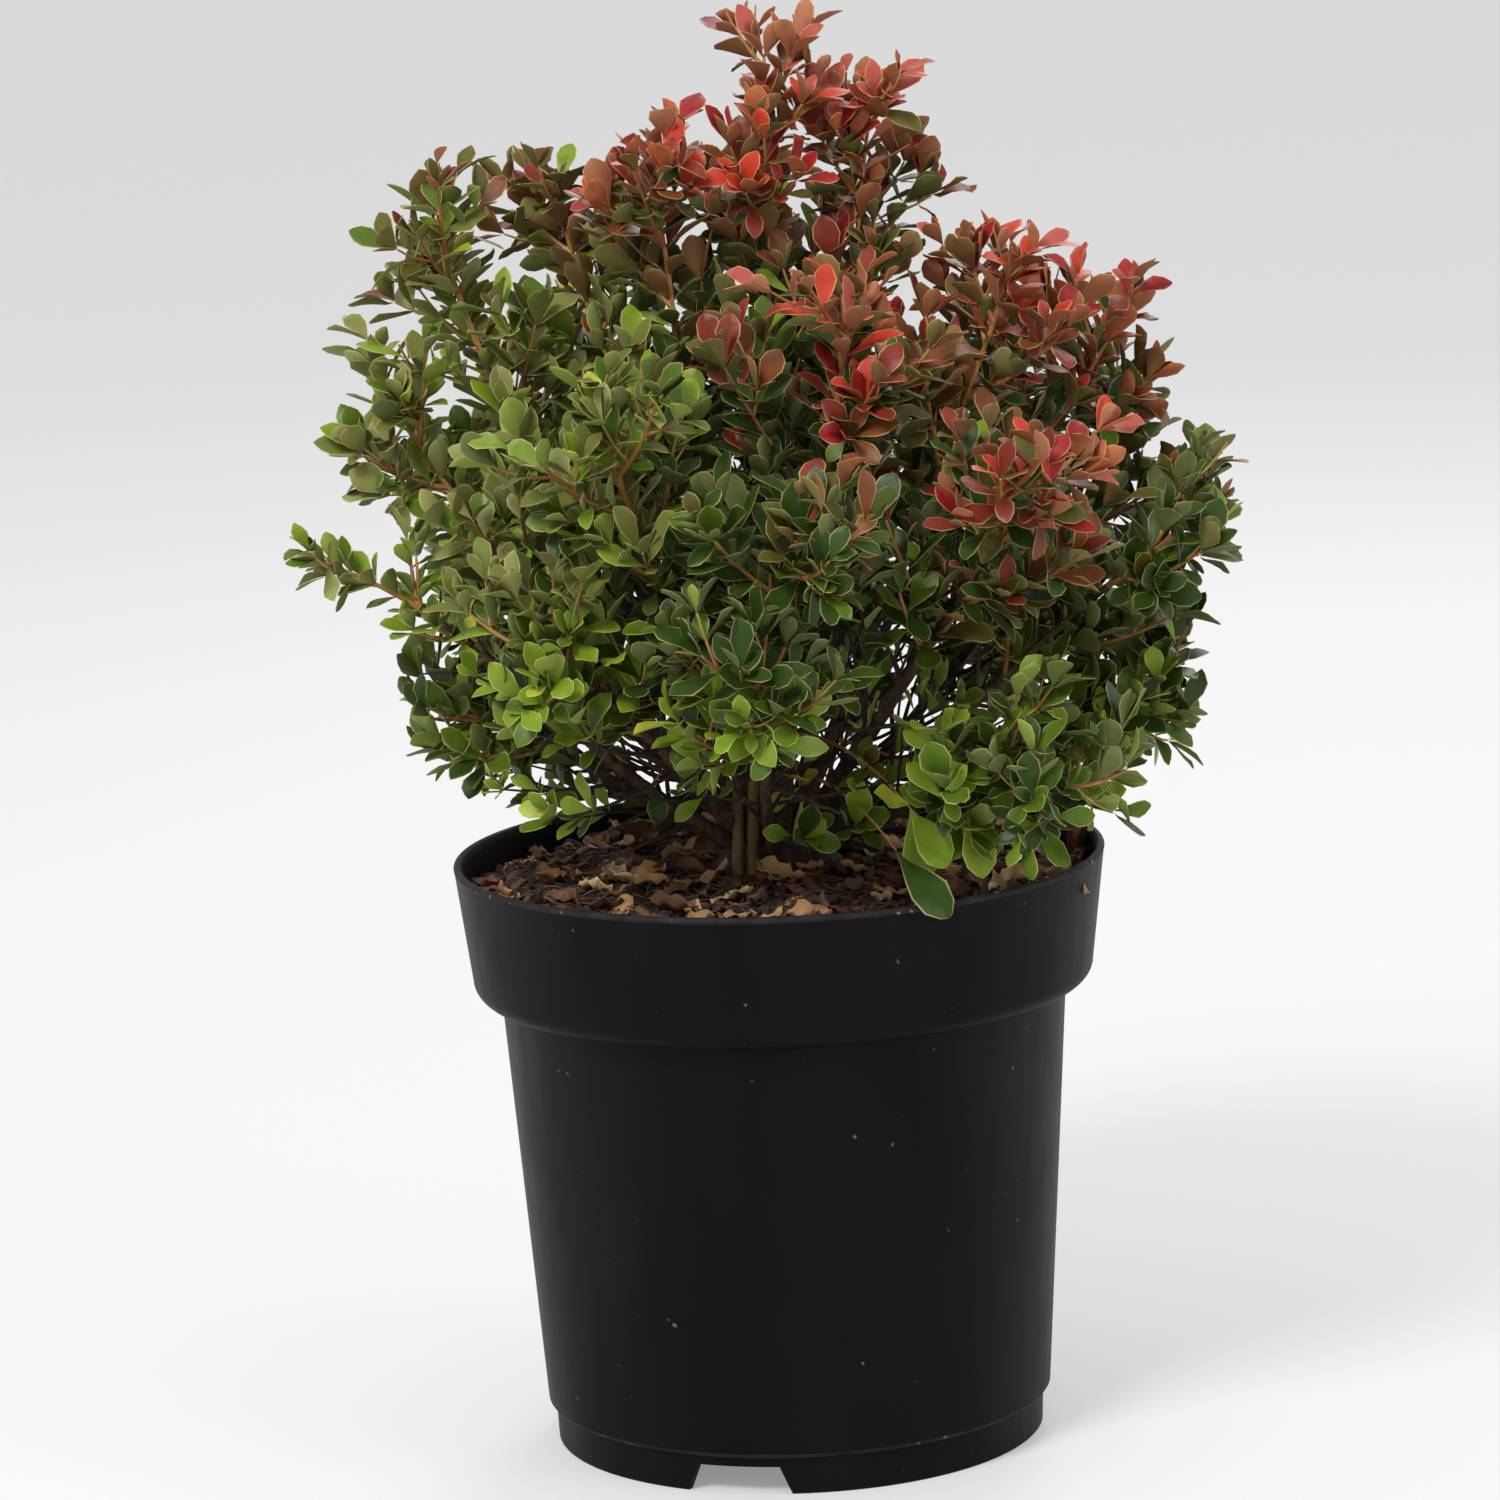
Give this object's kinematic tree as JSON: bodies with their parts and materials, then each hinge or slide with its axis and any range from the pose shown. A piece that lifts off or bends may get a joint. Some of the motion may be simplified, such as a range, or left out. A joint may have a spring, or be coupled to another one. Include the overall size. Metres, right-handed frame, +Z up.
{
  "type": "potted admiration japanese barberry",
  "caption": "Compact Japanese barberry with upright leafy shoots that turn from green to red, growing from a short root crown in a round black nursery pot of soil.",
  "frame": {"origin": "centre of the pot's underside, on the surface that it stands on", "axes": "+Z up; +X to the plant's right and +Y to its back, seen from the front, where one foot notch is turned a little to the left"},
  "size_m": [0.3188, 0.2912, 0.485],
  "materials": {
    "pot_plastic": "matt charcoal black, moulded, a little dusty",
    "potting_soil": "rough dark compost with bark chips and dead leaves",
    "old_wood": "rough dark brown bark",
    "young_bark": "satin grooved red-brown bark",
    "leaf_green": "satin leaf, fresh to deep green",
    "leaf_turning": "satin leaf, green turning bronze",
    "leaf_red": "satin leaf, red with a pale edge"
  },
  "bodies": {
    "root": {"pot": "pot_plastic", "soil": "potting_soil", "root_crown": "old_wood", "bough_spire": "young_bark", "bough_crest_right": "young_bark", "bough_crest_left": "young_bark", "bough_crest_back": "young_bark", "bough_crest_front": "young_bark", "bough_left_tall": "young_bark", "bough_left_second": "young_bark", "bough_right_high": "young_bark", "bough_right_shoulder": "young_bark", "bough_left_flank": "young_bark", "bough_front_left": "young_bark", "bough_front_middle": "young_bark", "bough_front_right": "young_bark", "bough_back_left": "young_bark", "bough_back_middle": "young_bark", "bough_back_right": "young_bark", "bough_right_flank": "young_bark", "bough_right_rear": "young_bark", "bough_left_rear": "young_bark", "bough_left_runner": "young_bark", "bough_right_skirt": "young_bark", "bough_back_right_skirt": "young_bark", "bough_back_skirt": "young_bark", "bough_back_left_skirt": "young_bark", "bough_left_skirt": "young_bark", "bough_front_left_skirt": "young_bark", "bough_front_skirt": "young_bark", "bough_front_right_skirt": "young_bark", "foliage_spire": "leaf_red", "foliage_crest_right": "leaf_red", "foliage_crest_left": "leaf_red", "foliage_crest_back": "leaf_red", "foliage_crest_front": "leaf_red", "foliage_left_tall": "leaf_turning", "foliage_left_second": "leaf_turning", "foliage_right_high": "leaf_red", "foliage_right_shoulder": "leaf_red", "foliage_left_flank": "leaf_green", "foliage_front_left": "leaf_green", "foliage_front_middle": "leaf_turning", "foliage_front_right": "leaf_red", "foliage_back_left": "leaf_green", "foliage_back_middle": "leaf_turning", "foliage_back_right": "leaf_turning", "foliage_right_flank": "leaf_turning", "foliage_right_rear": "leaf_turning", "foliage_left_rear": "leaf_green", "foliage_left_runner": "leaf_green", "foliage_right_skirt": "leaf_green", "foliage_back_right_skirt": "leaf_green", "foliage_back_skirt": "leaf_green", "foliage_back_left_skirt": "leaf_green", "foliage_left_skirt": "leaf_green", "foliage_front_left_skirt": "leaf_green", "foliage_front_skirt": "leaf_green", "foliage_front_right_skirt": "leaf_green"}
  },
  "joints": []
}
